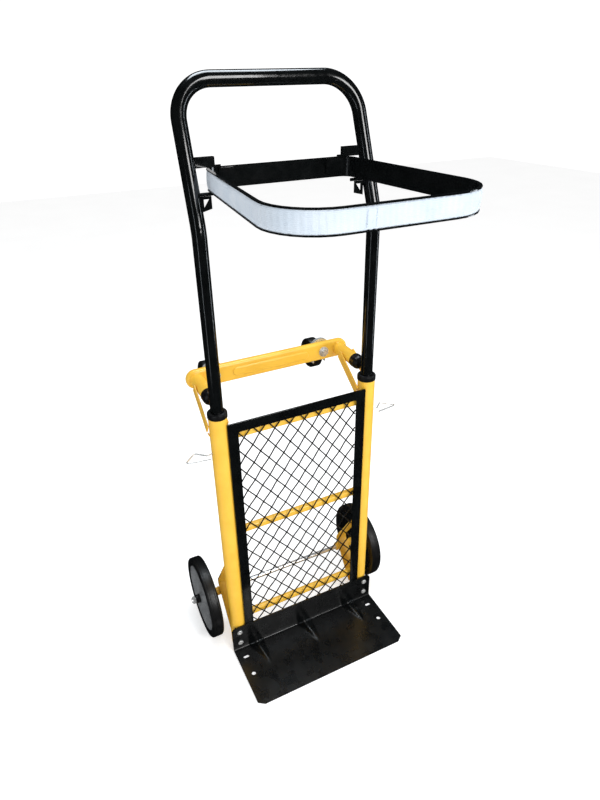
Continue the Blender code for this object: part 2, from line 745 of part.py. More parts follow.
def leg_axis_x(z):
    share = max(0.0, (z - LEG_BEND_Z) / (GRIP_Z - LEG_BEND_Z))
    return TUBE_X + (GRIP_HALF - TUBE_X) * share


def build_handle(mats):
    top_y = leg_axis_y(GRIP_Z)
    corners = [((-TUBE_X, 0, LEG_BOTTOM), 0), ((-TUBE_X, 0, LEG_BEND_Z), 0.075),
               ((-GRIP_HALF, top_y, GRIP_Z), CORNER_R), ((GRIP_HALF, top_y, GRIP_Z), CORNER_R),
               ((TUBE_X, 0, LEG_BEND_Z), 0.075), ((TUBE_X, 0, LEG_BOTTOM), 0)]
    path = bent_path(corners, 7)
    handle = add_object("handle_tube", swept_tube(path, LEG_R, 16, LEG_R - LEG_WALL), mats["black"])
    for side, sign in both_sides():
        for step in range(3):
            hole = turned([(0.0028, -0.015), (0.0028, 0.015)], 10, axis="X")
            hole = add_object(f"leg_hole_{side}_{step}", hole, mats["black"],
                              (sign * TUBE_X, 0, PIN_Z - 0.08 * step))
            combine(handle, hole, "DIFFERENCE")
    build_ring_shelves(mats)


def build_ring_shelves(mats):
    """On each leg: a pivot stub for the ring, and a rod with a gusset that holds the ring level."""
    rod_z = RING_TOP - RING_H - ROD_R - 0.0010
    rod_y = leg_axis_y(rod_z)
    leg_gap = LEG_R + 2 * GAP
    for side, sign in both_sides():
        outer = leg_axis_x(PIVOT_Z) - leg_gap
        stub = turned([(0.0028, outer - 0.0140), (0.0028, outer)], 14, axis="X")
        stub.transform(Matrix.Scale(sign, 4, (1, 0, 0)))
        add_object(f"ring_pivot_{side}", stub, mats["zinc"], (0, PIVOT_Y, PIVOT_Z))
        outer = leg_axis_x(rod_z) - leg_gap
        rod = turned([(ROD_R, 0.1140), (ROD_R, outer)], 12, axis="X")
        rod.transform(Matrix.Scale(sign, 4, (1, 0, 0)))
        add_object(f"ring_rest_rod_{side}", rod, mats["black"], (0, rod_y, rod_z))
        top = rod_z - ROD_R - GAP
        outline = [(GUSSET_INNER, top), (outer, top), (outer, top - 0.022), (GUSSET_INNER, top - 0.018)]
        gusset = prism([(sign * x, z) for x, z in outline], rod_y - 0.0012, rod_y + 0.0012, "Y")
        gusset = add_object(f"ring_rest_gusset_{side}", gusset, mats["black"], smooth=False)
        window = [(GUSSET_INNER + 0.003, top - 0.004), (outer - 0.004, top - 0.004), (outer - 0.004, top - 0.0165)]
        window = prism([(sign * x, z) for x, z in window], rod_y - 0.01, rod_y + 0.01, "Y")
        combine(gusset, add_object(f"gusset_window_{side}", window, mats["black"]), "DIFFERENCE")


# ---------------------------------------------------------------- bag ring

def ring_outline(steps=8):
    return rounded_outline([(-RING_HALF_BACK, RING_BACK, RING_R_BACK), (-RING_HALF_FRONT, RING_FRONT, RING_R_FRONT),
                            (RING_HALF_FRONT, RING_FRONT, RING_R_FRONT), (RING_HALF_BACK, RING_BACK, RING_R_BACK)],
                           steps)


def build_ring(mats):
    """A flanged steel strip bent to a hoop, with an elastic band lying in its channel."""
    low = RING_TOP - RING_H
    lip = 0.0016
    channel = [(-STRIP_T, RING_TOP), (FLANGE, RING_TOP), (FLANGE, RING_TOP - lip), (0, RING_TOP - lip),
               (0, low + lip), (FLANGE, low + lip), (FLANGE, low), (-STRIP_T, low)]
    outline = ring_outline()
    droop = Matrix.Rotation(RING_DROOP, 4, "X")
    droop = Matrix.Translation((0, PIVOT_Y, PIVOT_Z)) @ droop @ Matrix.Translation((0, -PIVOT_Y, -PIVOT_Z))
    hoop = swept_profile(outline, channel)
    hoop.transform(droop)
    add_object("ring_hoop", hoop, mats["black"])
    band = [(GAP, RING_TOP - lip - GAP), (0.0024, RING_TOP - lip - GAP), (0.0024, low + lip + GAP),
            (GAP, low + lip + GAP)]
    strip = swept_profile(outline, band)
    strip.transform(droop)
    add_object("elastic_band", strip, mats["elastic"])
    for side, sign in both_sides():
        build_ring_tab(mats, side, sign)


def build_ring_tab(mats, side, sign):
    """Tab riveted inside the hoop's back wall; its thick upper arm turns on the leg's pivot stub."""
    outer = leg_axis_x(TAB_TOP) - LEG_R - 0.0008
    wall = RING_BACK - STRIP_T - GAP
    foot = RING_TOP + GAP
    tongue = 0.1010
    pieces = {
        "upper": box((TAB_INNER, PIVOT_Y - TAB_T / 2, foot), (outer, PIVOT_Y + TAB_T / 2, TAB_TOP)),
        "lower": box((0.0780, wall - 0.0025, RING_TOP - 0.024), (tongue, wall - 0.0005, RING_TOP - 0.0015)),
        "tongue": box((tongue - 0.0035, wall - 0.0025, RING_TOP - 0.004), (tongue, wall - 0.0005, foot + 0.003)),
        "bridge": box((tongue - 0.0025, wall - 0.0025, foot), (TAB_INNER + 0.003, wall - 0.0005, foot + 0.003)),
    }
    bore = turned([(0.0032, 0.1200), (0.0032, 0.1600)], 14, axis="X")
    for piece in (*pieces.values(), bore):
        piece.transform(Matrix.Scale(sign, 4, (1, 0, 0)))
    tab = add_object(f"ring_tab_{side}", pieces["upper"], mats["black"], smooth=False)
    for name in ("lower", "tongue", "bridge"):
        combine(tab, add_object(f"tab_{name}_{side}", pieces[name], mats["black"]), "UNION")
    combine(tab, add_object(f"tab_bore_{side}", bore, mats["black"], (0, PIVOT_Y, PIVOT_Z)), "DIFFERENCE")


# ---------------------------------------------------------------- lock pins

def build_lock_pins(mats):
    """Bent wire pins: a straight shank into the tube's hole and a triangular pull loop outside."""
    wire = 0.0014
    for side, sign in both_sides():
        start = TUBE_X + LEG_R + 0.0006
        loop = [((start, 0, 0), 0), ((0.1765, -0.0020, 0), 0.003), ((0.1945, 0.0145, 0), 0.003),
                ((0.2175, -0.0085, 0), 0.003), ((0.1730, -0.0146, 0), 0)]
        path = bent_path([(Vector((sign * p[0], p[1], p[2] + PIN_Z)), r) for p, r in loop], 4)
        add_object(f"lock_pin_{side}", swept_tube(path, wire, 8), mats["zinc"])


# ---------------------------------------------------------------- moving groups

def group_moving_pieces():
    sides = both_sides()
    on_handle = [f"{name}_{side}" for side, _ in sides for name in ("ring_pivot", "ring_rest_rod", "ring_rest_gusset")]
    handle = carry("handle_axis", (0, 0, TUBE_TOP), ["handle_tube"] + on_handle)
    on_ring = ["ring_hoop", "elastic_band"] + [f"ring_tab_{side}" for side, _ in sides]
    nest(carry("ring_axis", (0, PIVOT_Y, PIVOT_Z), on_ring), handle)
    axle_z = REAR_Z - CASTER_TRAIL
    for side, sign in sides:
        carry(f"lock_pin_axis_{side}", (sign * TUBE_X, 0, PIN_Z), [f"lock_pin_{side}"])
        hub = (sign * (WHEEL_FACE_X - WHEEL_W / 2), WHEEL_Y, WHEEL_R)
        carry(f"wheel_axis_{side}", hub, [f"wheel_tyre_{side}", f"wheel_hub_{side}"])
        swivel = carry(f"caster_axis_{side}", (sign * CASTER_X, REAR_FRONT + REAR_D, REAR_Z),
                       [f"caster_fork_{side}", f"caster_axle_{side}"])
        spin = carry(f"caster_spin_axis_{side}", (sign * CASTER_X, CASTER_AXLE_Y, axle_z), [f"caster_wheel_{side}"])
        nest(spin, swivel)


def nest(inner, outer):
    inner.parent = outer
    inner.matrix_parent_inverse = Matrix.Translation(-outer.location)


def main():
    clear_scene()
    mats = {
        "yellow": material("yellow_powder_coat", (0.92, 0.55, 0.06), 0.35),
        "black": material("black_gloss_paint", (0.012, 0.013, 0.014), 0.18),
        "black_plastic": material("black_plastic", (0.02, 0.02, 0.02), 0.40),
        "wire": material("black_wire", (0.02, 0.02, 0.02), 0.35),
        "zinc": material("zinc_plate", (0.62, 0.63, 0.65), 0.30, 1.0),
        "chrome": material("chrome_plate", (0.80, 0.80, 0.80), 0.12, 1.0),
        "rubber": material("black_rubber", (0.018, 0.018, 0.018), 0.65),
        "hub": material("grey_steel_disc", (0.42, 0.42, 0.42), 0.35, 0.8),
        "elastic": material("white_elastic", (0.88, 0.90, 0.93), 0.85),
    }
    build_side_tubes(mats)
    build_collars(mats)
    build_cross_bars(mats)
    build_panel(mats)
    build_toe_plate(mats)
    build_toe_bolts(mats)
    build_wheel_brackets(mats)
    build_axle(mats)
    build_wheels(mats)
    build_rear_carrier(mats)
    build_casters(mats)
    build_handle(mats)
    build_ring(mats)
    build_lock_pins(mats)
    group_moving_pieces()


main()
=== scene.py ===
"""Looks for the hand truck with a bag ring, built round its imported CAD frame."""
import json
import math

import bmesh
import bpy
from mathutils import Matrix, Vector, noise

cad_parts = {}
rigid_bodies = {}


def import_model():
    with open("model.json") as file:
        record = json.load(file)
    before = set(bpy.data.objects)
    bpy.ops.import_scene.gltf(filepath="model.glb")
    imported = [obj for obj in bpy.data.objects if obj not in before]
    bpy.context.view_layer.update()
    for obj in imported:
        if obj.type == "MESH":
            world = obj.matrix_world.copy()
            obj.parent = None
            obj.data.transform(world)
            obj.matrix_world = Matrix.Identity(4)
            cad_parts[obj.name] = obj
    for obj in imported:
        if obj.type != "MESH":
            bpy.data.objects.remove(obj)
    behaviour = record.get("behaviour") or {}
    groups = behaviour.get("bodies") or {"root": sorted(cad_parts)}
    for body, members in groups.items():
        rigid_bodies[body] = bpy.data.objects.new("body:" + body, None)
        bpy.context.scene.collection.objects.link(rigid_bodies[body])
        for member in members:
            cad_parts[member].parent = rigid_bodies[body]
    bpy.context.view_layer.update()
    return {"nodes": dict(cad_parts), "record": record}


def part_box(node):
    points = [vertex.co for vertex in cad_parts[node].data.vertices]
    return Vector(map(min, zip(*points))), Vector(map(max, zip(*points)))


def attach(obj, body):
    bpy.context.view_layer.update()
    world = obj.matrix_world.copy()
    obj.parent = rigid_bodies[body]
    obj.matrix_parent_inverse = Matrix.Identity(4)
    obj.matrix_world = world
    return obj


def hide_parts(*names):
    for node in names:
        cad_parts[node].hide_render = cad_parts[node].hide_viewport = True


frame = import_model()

SIDES = (("left", -1), ("right", 1))


def middle(node):
    low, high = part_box(node)
    return (low + high) / 2


# Driving dimensions, in metres. The radii, bends and ring heights repeat the CAD's.
TUBE = middle("side_tube_right")
Y0 = TUBE.y                   # the side tubes' axis, front to back
TUBE_X = TUBE.x               # and to each side
TUBE_R = 0.0165
LEG_R = 0.0113                # push handle
LEG_BEND_Z, LEG_BEND_R = 0.889, 0.075
LEAN = math.radians(19.5)     # of the handle above that bend
GRIP_Z, GRIP_HALF, CORNER_R = 1.083, 0.1465, 0.056
RING_TOP, RING_BOTTOM = 0.9705, 0.9405
RING_PIVOT = Vector((0, Y0 + 0.0345, 0.9795))
DROOP = math.radians(0.8)     # the ring's front sags by this much


# ------------------------------------------------------------------ camera, light, floor

def make_camera():
    data = bpy.data.cameras.new("camera")
    data.sensor_width = 36
    data.sensor_fit = "AUTO"
    data.lens = 26.116
    data.clip_start = 0.05
    cam = bpy.data.objects.new("camera", data)
    bpy.context.scene.collection.objects.link(cam)
    ahead = Vector((0.38203787, 0.78260026, -0.49151186))
    right = Vector((0.89449836, -0.44678085, -0.01611062))
    up = Vector((0.23220626, 0.43350168, 0.87072185))
    place = Vector((-0.3969, -0.8297 + Y0, 1.0884))
    cam.matrix_world = Matrix(((right.x, up.x, -ahead.x, place.x), (right.y, up.y, -ahead.y, place.y),
                               (right.z, up.z, -ahead.z, place.z), (0, 0, 0, 1)))
    bpy.context.scene.camera = cam


def softbox(name, place, target, size, power, colour=(1, 1, 1)):
    data = bpy.data.lights.new(name, "AREA")
    data.shape = "RECTANGLE"
    data.size, data.size_y = size
    data.energy = power
    data.color = colour
    lamp = bpy.data.objects.new(name, data)
    lamp.location = place
    lamp.rotation_euler = (Vector(target) - Vector(place)).to_track_quat("-Z", "Y").to_euler()
    bpy.context.scene.collection.objects.link(lamp)


def make_world():
    world = bpy.data.worlds.new("studio")
    bpy.context.scene.world = world
    world.use_nodes = True
    nodes, links = world.node_tree.nodes, world.node_tree.links
    bright = nodes["Background"]
    bright.inputs["Color"].default_value = (1.0, 1.0, 1.0, 1)
    bright.inputs["Strength"].default_value = 0.62    # what lights the matt surfaces
    dim = nodes.new("ShaderNodeBackground")
    dim.inputs["Color"].default_value = (0.80, 0.90, 1.0, 1)
    dim.inputs["Strength"].default_value = 0.012      # what the glossy blacks mirror
    path = nodes.new("ShaderNodeLightPath")
    mix = nodes.new("ShaderNodeMixShader")
    links.new(path.outputs["Is Glossy Ray"], mix.inputs["Fac"])
    links.new(bright.outputs[0], mix.inputs[1])
    links.new(dim.outputs[0], mix.inputs[2])
    white = nodes.new("ShaderNodeBackground")
    white.inputs["Color"].default_value = (1, 1, 1, 1)
    white.inputs["Strength"].default_value = 1.1      # what the camera sees: a burnt-out backdrop
    backdrop = nodes.new("ShaderNodeMixShader")
    links.new(path.outputs["Is Camera Ray"], backdrop.inputs["Fac"])
    links.new(mix.outputs[0], backdrop.inputs[1])
    links.new(white.outputs[0], backdrop.inputs[2])
    links.new(backdrop.outputs[0], nodes["World Output"].inputs["Surface"])
    bpy.context.scene.view_settings.view_transform = "Standard"


def make_stage():
    make_world()
    softbox("key", (0.55, -2.1, 1.7), (0, 0, 0.5), (0.8, 1.3), 32)
    softbox("side_strip", (-1.6, -0.9, 0.7), (0, 0, 0.6), (0.10, 1.9), 2.6, (0.85, 0.93, 1.0))
    softbox("right_strip", (1.7, -0.5, 0.8), (0, 0, 0.6), (0.12, 1.9), 5, (0.85, 0.93, 1.0))
    softbox("top", (0.2, 0.5, 2.3), (0, 0, 0.2), (1.0, 0.7), 20, (0.85, 0.93, 1.0))
    bm = bmesh.new()
    bmesh.ops.create_grid(bm, x_segments=1, y_segments=1, size=6.0)
    mesh = bpy.data.meshes.new("floor")
    bm.to_mesh(mesh)
    bm.free()
    floor = bpy.data.objects.new("floor", mesh)
    floor.location.z = -0.0005
    bpy.context.scene.collection.objects.link(floor)
    look = Look("pale_floor", 0.9)
    look.tint(look.grain(3.0, 2.0), (0.90, 0.90, 0.90), (0.93, 0.93, 0.93))
    look.shader.inputs["Emission Color"].default_value = (1, 1, 1, 1)
    look.shader.inputs["Emission Strength"].default_value = 0.42
    mesh.materials.append(look.mat)
    floor.visible_glossy = False


# ------------------------------------------------------------------ materials

NOISE_SPREAD = (0.3, 0.7)     # a noise texture's values mostly lie between these


class Look:
    """A node material laid on object coordinates, in metres."""

    def __init__(self, name, roughness, metallic=0.0, **sockets):
        self.mat = bpy.data.materials.new(name)
        self.mat.use_nodes = True
        self.nodes = self.mat.node_tree.nodes
        self.links = self.mat.node_tree.links
        self.shader = self.nodes["Principled BSDF"]
        self.shader.inputs["Roughness"].default_value = roughness
        self.shader.inputs["Metallic"].default_value = metallic
        for socket, value in sockets.items():
            self.shader.inputs[socket.replace("_", " ")].default_value = value
        self.coordinates = self.nodes.new("ShaderNodeTexCoord")

    def place(self, stretch=(1, 1, 1), source="Object"):
        mapping = self.nodes.new("ShaderNodeMapping")
        mapping.inputs["Scale"].default_value = stretch
        self.links.new(self.coordinates.outputs[source], mapping.inputs["Vector"])
        return mapping.outputs["Vector"]

    def grain(self, scale, detail=3.0, stretch=(1, 1, 1), source="Object"):
        node = self.nodes.new("ShaderNodeTexNoise")
        node.inputs["Scale"].default_value = scale
        node.inputs["Detail"].default_value = detail
        self.links.new(self.place(stretch, source), node.inputs["Vector"])
        return node.outputs["Fac"]

    def ribs(self, scale, axis, source="Object"):
        node = self.nodes.new("ShaderNodeTexWave")
        node.wave_type = "BANDS"
        node.bands_direction = axis
        node.inputs["Scale"].default_value = scale
        self.links.new(self.place(source=source), node.inputs["Vector"])
        return node.outputs["Fac"]

    def tint(self, factor, low, high):
        node = self.nodes.new("ShaderNodeValToRGB")
        for element, position, colour in zip(node.color_ramp.elements, NOISE_SPREAD, (low, high)):
            element.position = position
            element.color = (*colour, 1)
        self.links.new(factor, node.inputs["Fac"])
        self.links.new(node.outputs["Color"], self.shader.inputs["Base Color"])

    def vary_roughness(self, factor, low, high):
        node = self.nodes.new("ShaderNodeMapRange")
        node.inputs["From Min"].default_value = NOISE_SPREAD[0]
        node.inputs["From Max"].default_value = NOISE_SPREAD[1]
        node.inputs["To Min"].default_value = low
        node.inputs["To Max"].default_value = high
        self.links.new(factor, node.inputs["Value"])
        self.links.new(node.outputs["Result"], self.shader.inputs["Roughness"])

    def product(self, first, second):
        node = self.nodes.new("ShaderNodeMath")
        node.operation = "MULTIPLY"
        self.links.new(first, node.inputs[0])
        self.links.new(second, node.inputs[1])
        return node.outputs[0]

    def bump(self, height, distance):
        node = self.nodes.new("ShaderNodeBump")
        node.inputs["Distance"].default_value = distance
        node.inputs["Strength"].default_value = 1.0
        self.links.new(height, node.inputs["Height"])
        normal = self.shader.inputs["Normal"]
        if normal.is_linked:
            self.links.new(normal.links[0].from_socket, node.inputs["Normal"])
        self.links.new(node.outputs["Normal"], normal)


def powder_yellow():
    look = Look("yellow_powder_coat", 0.34, Coat_Weight=0.35, Coat_Roughness=0.18)
    look.tint(look.grain(28, 4), (0.90, 0.500, 0.040), (0.97, 0.575, 0.058))
    look.vary_roughness(look.grain(160, 3), 0.28, 0.42)
    look.bump(look.grain(700, 2), 0.00010)
    look.bump(look.grain(60, 2), 0.00015)
    return look.mat


def gloss_black():
    look = Look("black_gloss_paint", 0.12, Coat_Weight=0.5, Coat_Roughness=0.06)
    look.tint(look.grain(35, 3), (0.0016, 0.0020, 0.0021), (0.0036, 0.0044, 0.0046))
    look.vary_roughness(look.grain(90, 4), 0.10, 0.20)
    look.bump(look.grain(420, 2), 0.00006)
    look.bump(look.grain(45, 2), 0.00012)
    return look.mat


def pressed_black():
    """The toe plate's paint: satin, with the faint waves of pressed sheet."""
    look = Look("black_satin_paint", 0.26, Coat_Weight=0.25, Coat_Roughness=0.22)
    look.tint(look.grain(30, 3), (0.0012, 0.0015, 0.0016), (0.0030, 0.0038, 0.0040))
    look.vary_roughness(look.grain(40, 4), 0.22, 0.36)
    look.bump(look.grain(500, 2), 0.00006)
    look.bump(look.grain(16, 2), 0.00060)
    return look.mat


def moulded_black():
    look = Look("black_moulded_plastic", 0.34)
    look.tint(look.grain(120, 3), (0.003, 0.003, 0.0035), (0.008, 0.008, 0.009))
    look.vary_roughness(look.grain(260, 3), 0.26, 0.44)
    look.bump(look.grain(1500, 2), 0.00008)
    return look.mat


def dipped_wire():
    look = Look("black_coated_wire", 0.3, Coat_Weight=0.3, Coat_Roughness=0.15)
    look.tint(look.grain(200, 2), (0.003, 0.003, 0.003), (0.008, 0.0075, 0.007))
    look.vary_roughness(look.grain(500, 2), 0.24, 0.42)
    look.bump(look.grain(900, 2), 0.00005)
    return look.mat


def zinc_plate():
    look = Look("zinc_plate", 0.28, 0.6)
    look.tint(look.grain(160, 4), (0.66, 0.66, 0.65), (0.86, 0.86, 0.84))
    look.vary_roughness(look.grain(420, 3), 0.20, 0.42)
    look.bump(look.grain(1400, 2), 0.00004)
    return look.mat


def chrome():
    look = Look("bright_chrome", 0.10, 0.6)
    look.tint(look.grain(40, 3, (0.1, 1, 1)), (0.70, 0.71, 0.72), (0.86, 0.86, 0.87))
    look.vary_roughness(look.grain(900, 2, (0.02, 1, 1)), 0.06, 0.18)
    return look.mat


def tyre_rubber():
    look = Look("black_rubber", 0.40)
    look.tint(look.grain(70, 4), (0.0035, 0.0035, 0.0038), (0.0080, 0.0080, 0.0080))
    look.vary_roughness(look.grain(240, 4), 0.30, 0.48)
    look.bump(look.grain(1100, 3), 0.00012)
    return look.mat


def silver_disc():
    look = Look("silver_grey_disc", 0.32, 0.45, Coat_Weight=0.25, Coat_Roughness=0.2)
    look.tint(look.grain(60, 4), (0.26, 0.27, 0.28), (0.38, 0.39, 0.40))
    look.vary_roughness(look.grain(300, 3), 0.26, 0.42)
    look.bump(look.grain(900, 2), 0.00006)
    return look.mat


def elastic_webbing():
    """Ribbed woven elastic: cords along its length crossed by fine picks. UV is in metres."""
    look = Look("white_elastic", 0.85, Sheen_Weight=0.35, Sheen_Roughness=0.5)
    along = look.ribs(160.0, "Y", "UV")
    across = look.ribs(230.0, "X", "UV")
    look.tint(look.grain(30, 4, source="UV"), (0.57, 0.66, 0.76), (0.67, 0.74, 0.82))
    look.bump(look.product(along, across), 0.00030)
    look.bump(look.grain(90, 3, (1, 0.3, 1), "UV"), 0.00050)
    return look.mat


# ------------------------------------------------------------------ shapes

def place_mesh(name, bm, mat, body, angle=35.0):
    """Make an object of the mesh, shade it, and let it ride on a body."""
    bmesh.ops.recalc_face_normals(bm, faces=bm.faces)
    mesh = bpy.data.meshes.new(name)
    bm.to_mesh(mesh)
    bm.free()
    mesh.shade_smooth()
    mesh.set_sharp_from_angle(angle=math.radians(angle))
    mesh.materials.append(mat)
    obj = bpy.data.objects.new(name, mesh)
    bpy.context.scene.collection.objects.link(obj)
    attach(obj, body)
    return obj


def bridge(bm, ring_a, ring_b):
    count = len(ring_a)
    for i in range(count):
        j = (i + 1) % count
        bm.faces.new((ring_a[i], ring_a[j], ring_b[j], ring_b[i]))


def lathe(profile, segments, axis, centre, closed=True, bm=None):
    """Turn (radius, height) pairs round an axis through centre."""
    bm = bm or bmesh.new()
    turn = {"Z": Matrix(), "Y": Matrix.Rotation(-math.pi / 2, 4, "X"),
            "X": Matrix.Rotation(math.pi / 2, 4, "Y")}[axis]
    turn = Matrix.Translation(centre) @ turn
    rings = []
    for radius, height in profile:
        ring = []
        for i in range(segments):
            a = 2 * math.pi * i / segments
            ring.append(bm.verts.new(turn @ Vector((radius * math.cos(a), radius * math.sin(a), height))))
        rings.append(ring)
    for lower, upper in zip(rings, rings[1:]):
        bridge(bm, lower, upper)
    if closed:
        bridge(bm, rings[-1], rings[0])
    else:
        bm.faces.new(rings[0])
        bm.faces.new(rings[-1])
    return bm


def arc(centre, radius, start, stop, steps):
    points = []
    for i in range(steps + 1):
        a = math.radians(start + (stop - start) * i / steps)
        points.append((centre[0] + radius * math.cos(a), centre[1] + radius * math.sin(a)))
    return points


def bent_path(corners, steps=16):
    """corners: (point, radius); a polyline with rounded inner corners."""
    points = [Vector(corners[0][0])]
    for i in range(1, len(corners) - 1):
        here, radius = Vector(corners[i][0]), corners[i][1]
        before = (Vector(corners[i - 1][0]) - here).normalized()
        after = (Vector(corners[i + 1][0]) - here).normalized()
        half = before.angle(after) / 2
        reach = radius / math.tan(half)
        centre = here + (before + after).normalized() * (radius / math.sin(half))
        start = (here + before * reach - centre).normalized()
        stop = (here + after * reach - centre).normalized()
        for k in range(steps + 1):
            points.append(centre + start.slerp(stop, k / steps) * radius)
    points.append(Vector(corners[-1][0]))
    return points


def tube(points, radius, sides=12, loop=False, bm=None):
    """A round bar along a path; radius is a number or a function of the point's number."""
    bm = bm or bmesh.new()
    count = len(points)
    rings = []
    side = None
    last = None
    for i, point in enumerate(points):
        ahead = points[(i + 1) % count] if loop else points[min(i + 1, count - 1)]
        behind = points[i - 1] if loop else points[max(i - 1, 0)]
        tangent = (ahead - behind).normalized()
        if side is None:
            guide = Vector((1, 0, 0)) if abs(tangent.x) < 0.9 else Vector((0, 0, 1))
            side = tangent.cross(guide).normalized()
        else:
            side = last.rotation_difference(tangent) @ side
            side = (side - tangent * side.dot(tangent)).normalized()
        lift = tangent.cross(side)
        last = tangent
        size = radius(i) if callable(radius) else radius
        ring = []
        for k in range(sides):
            a = 2 * math.pi * k / sides
            ring.append(bm.verts.new(point + size * (math.cos(a) * side + math.sin(a) * lift)))
        rings.append(ring)
    for lower, upper in zip(rings, rings[1:]):
        bridge(bm, lower, upper)
    if loop:
        bridge(bm, rings[-1], rings[0])
    else:
        bm.faces.new(rings[0])
        bm.faces.new(rings[-1])
    return bm


def applied(obj):
    """Give the object the mesh its modifiers make."""
    bpy.context.view_layer.update()
    mesh = bpy.data.meshes.new_from_object(obj.evaluated_get(bpy.context.evaluated_depsgraph_get()))
    obj.modifiers.clear()
    obj.data = mesh


def bevelled(obj, width):
    mod = obj.modifiers.new("edges", "BEVEL")
    mod.width = width
    mod.segments = 2
    mod.limit_method = "ANGLE"
    mod.angle_limit = math.radians(35.0)
    mod.harden_normals = True
    applied(obj)


def refined(node, body, mat, width):
    """A CAD node's shape again with its edges rounded."""
    bm = bmesh.new()
    bm.from_mesh(frame["nodes"][node].data)
    bmesh.ops.remove_doubles(bm, verts=bm.verts, dist=0.00001)
    bmesh.ops.dissolve_limit(bm, angle_limit=math.radians(1.0), verts=bm.verts, edges=bm.edges)
    obj = place_mesh(f"{node}_detail", bm, mat, body)
    bevelled(obj, width)
    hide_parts(node)


def flat_plate(name, outlines, low, high, axis, rounding, mat, body):
    """A plate with holes, its edges rounded; outlines are closed, the first one outermost."""
    curve = bpy.data.curves.new(name, "CURVE")
    curve.dimensions = "2D"
    curve.fill_mode = "BOTH"
    curve.extrude = (high - low) / 2 - rounding
    curve.bevel_depth = rounding
    curve.bevel_resolution = 3
    curve.offset = -rounding
    for outline in outlines:
        spline = curve.splines.new("POLY")
        spline.points.add(len(outline) - 1)
        for point, (u, v) in zip(spline.points, outline):
            point.co = (u, v, 0, 1)
        spline.use_cyclic_u = True
    flat = bpy.data.objects.new(name, curve)
    bpy.context.scene.collection.objects.link(flat)
    bpy.context.view_layer.update()
    mesh = bpy.data.meshes.new_from_object(flat.evaluated_get(bpy.context.evaluated_depsgraph_get()))
    bpy.data.objects.remove(flat)
    bm = bmesh.new()
    bm.from_mesh(mesh)
    bmesh.ops.remove_doubles(bm, verts=bm.verts, dist=0.000005)
    lift = (low + high) / 2
    for vert in bm.verts:
        u, v, w = vert.co
        vert.co = {"Y": (u, w + lift, v), "X": (w + lift, u, v), "Z": (u, v, w + lift)}[axis]
    return place_mesh(name, bm, mat, body, 50)


def rounded_box(x, z, half_x, half_z, radius, steps=8):
    points = []
    for sx, sz, start in ((1, 1, 0), (-1, 1, 90), (-1, -1, 180), (1, -1, 270)):
        centre = (x + sx * (half_x - radius), z + sz * (half_z - radius))
        points += arc(centre, radius, start, start + 90, steps)
    return points


def weld(name, points, size, body, mat, loop=True):
    """A bead of weld with the ripples that each pass leaves."""
    def swell(i):
        return size * (1.0 + 0.16 * math.sin(i * 2.1) + 0.10 * noise.noise(points[i] * 400))
    return place_mesh(name, tube(points, swell, 8, loop), mat, body, 60)


def ring_points(centre, radius, axis, count=40, start=0.0, stop=360.0):
    """Points round a circle; an open arc when it isn't a full turn."""
    full = abs(stop - start - 360) < 1e-6
    points = []
    for i in range(count if full else count + 1):
        a = math.radians(start + (stop - start) * i / count)
        u, v = radius * math.cos(a), radius * math.sin(a)
        offset = {"X": (0, u, v), "Y": (u, 0, v), "Z": (u, v, 0)}[axis]
        points.append(Vector(centre) + Vector(offset))
    return points


# ------------------------------------------------------------------ elastic band

def rounded_loop(corners, steps):
    points = []
    for i, (x, y, radius) in enumerate(corners):
        here = Vector((x, y))
        before = (Vector(corners[i - 1][:2]) - here).normalized()
        after = (Vector(corners[(i + 1) % len(corners)][:2]) - here).normalized()
        half = before.angle(after) / 2
        start = here + before * (radius / math.tan(half))
        stop = here + after * (radius / math.tan(half))
        centre = here + (before + after).normalized() * (radius / math.sin(half))
        a0 = math.atan2(start.y - centre.y, start.x - centre.x)
        a1 = math.atan2(stop.y - centre.y, stop.x - centre.x)
        sweep = (a1 - a0 + math.pi) % (2 * math.pi) - math.pi
        points += [Vector((centre.x + radius * math.cos(a0 + sweep * k / steps),
                           centre.y + radius * math.sin(a0 + sweep * k / steps))) for k in range(steps + 1)]
    return points


def evenly(points, spacing):
    """The closed loop's points again at an even spacing, with their distance along it."""
    total = sum((points[i] - points[i - 1]).length for i in range(len(points)))
    count = int(total / spacing)
    step = total / count
    result = []
    walked, need = 0.0, 0.0
    for i in range(len(points)):
        a, b = points[i - 1], points[i]
        span = (b - a).length
        while span > 0 and need < walked + span - 1e-9 and len(result) < count:
            result.append((a.lerp(b, (need - walked) / span), need))
            need += step
        walked += span
    return result, total


SEAM_X = -0.044               # where the band's ends overlap, on the ring's front
SEAM_HALF = 0.010
STITCH_ROWS = (-0.006, 0.006)  # two rows of stitching, from the overlap's middle
GROOVE_LIP = 0.0021           # the hoop's channel stands past the band by this, above and below
BAND_ROWS = 12
HOOP_BACK, HOOP_FRONT = Y0 + 0.0365, Y0 - 0.288


def drooped(point):
    return RING_PIVOT + Matrix.Rotation(DROOP, 3, "X") @ (point - RING_PIVOT)


def band_thickness(point, along, v):
    """How far the band's face stands off the hoop: crowned, puckered, and thicker at its seam."""
    edge = 1.0 - abs(2 * v - 1) ** 6
    pucker = 0.00022 * math.sin(along * 2 * math.pi / 0.0082 + 2.2 * math.sin(along * 31) + 1.3 * v)
    slack = 0.0007 * noise.noise(Vector((along * 26, v * 1.6, 0.3)))
    seam, stitch = seam_share(point), 0.0
    if seam > 0:
        near = min(abs(point.x - SEAM_X - s) for s in STITCH_ROWS)
        stitch = -0.0006 * max(0.0, 1 - near / 0.0016) * (0.6 + 0.4 * math.cos(v * 42))
    return GROOVE_LIP + 0.0011 * edge + pucker * edge + slack * edge + 0.0012 * seam * edge + stitch


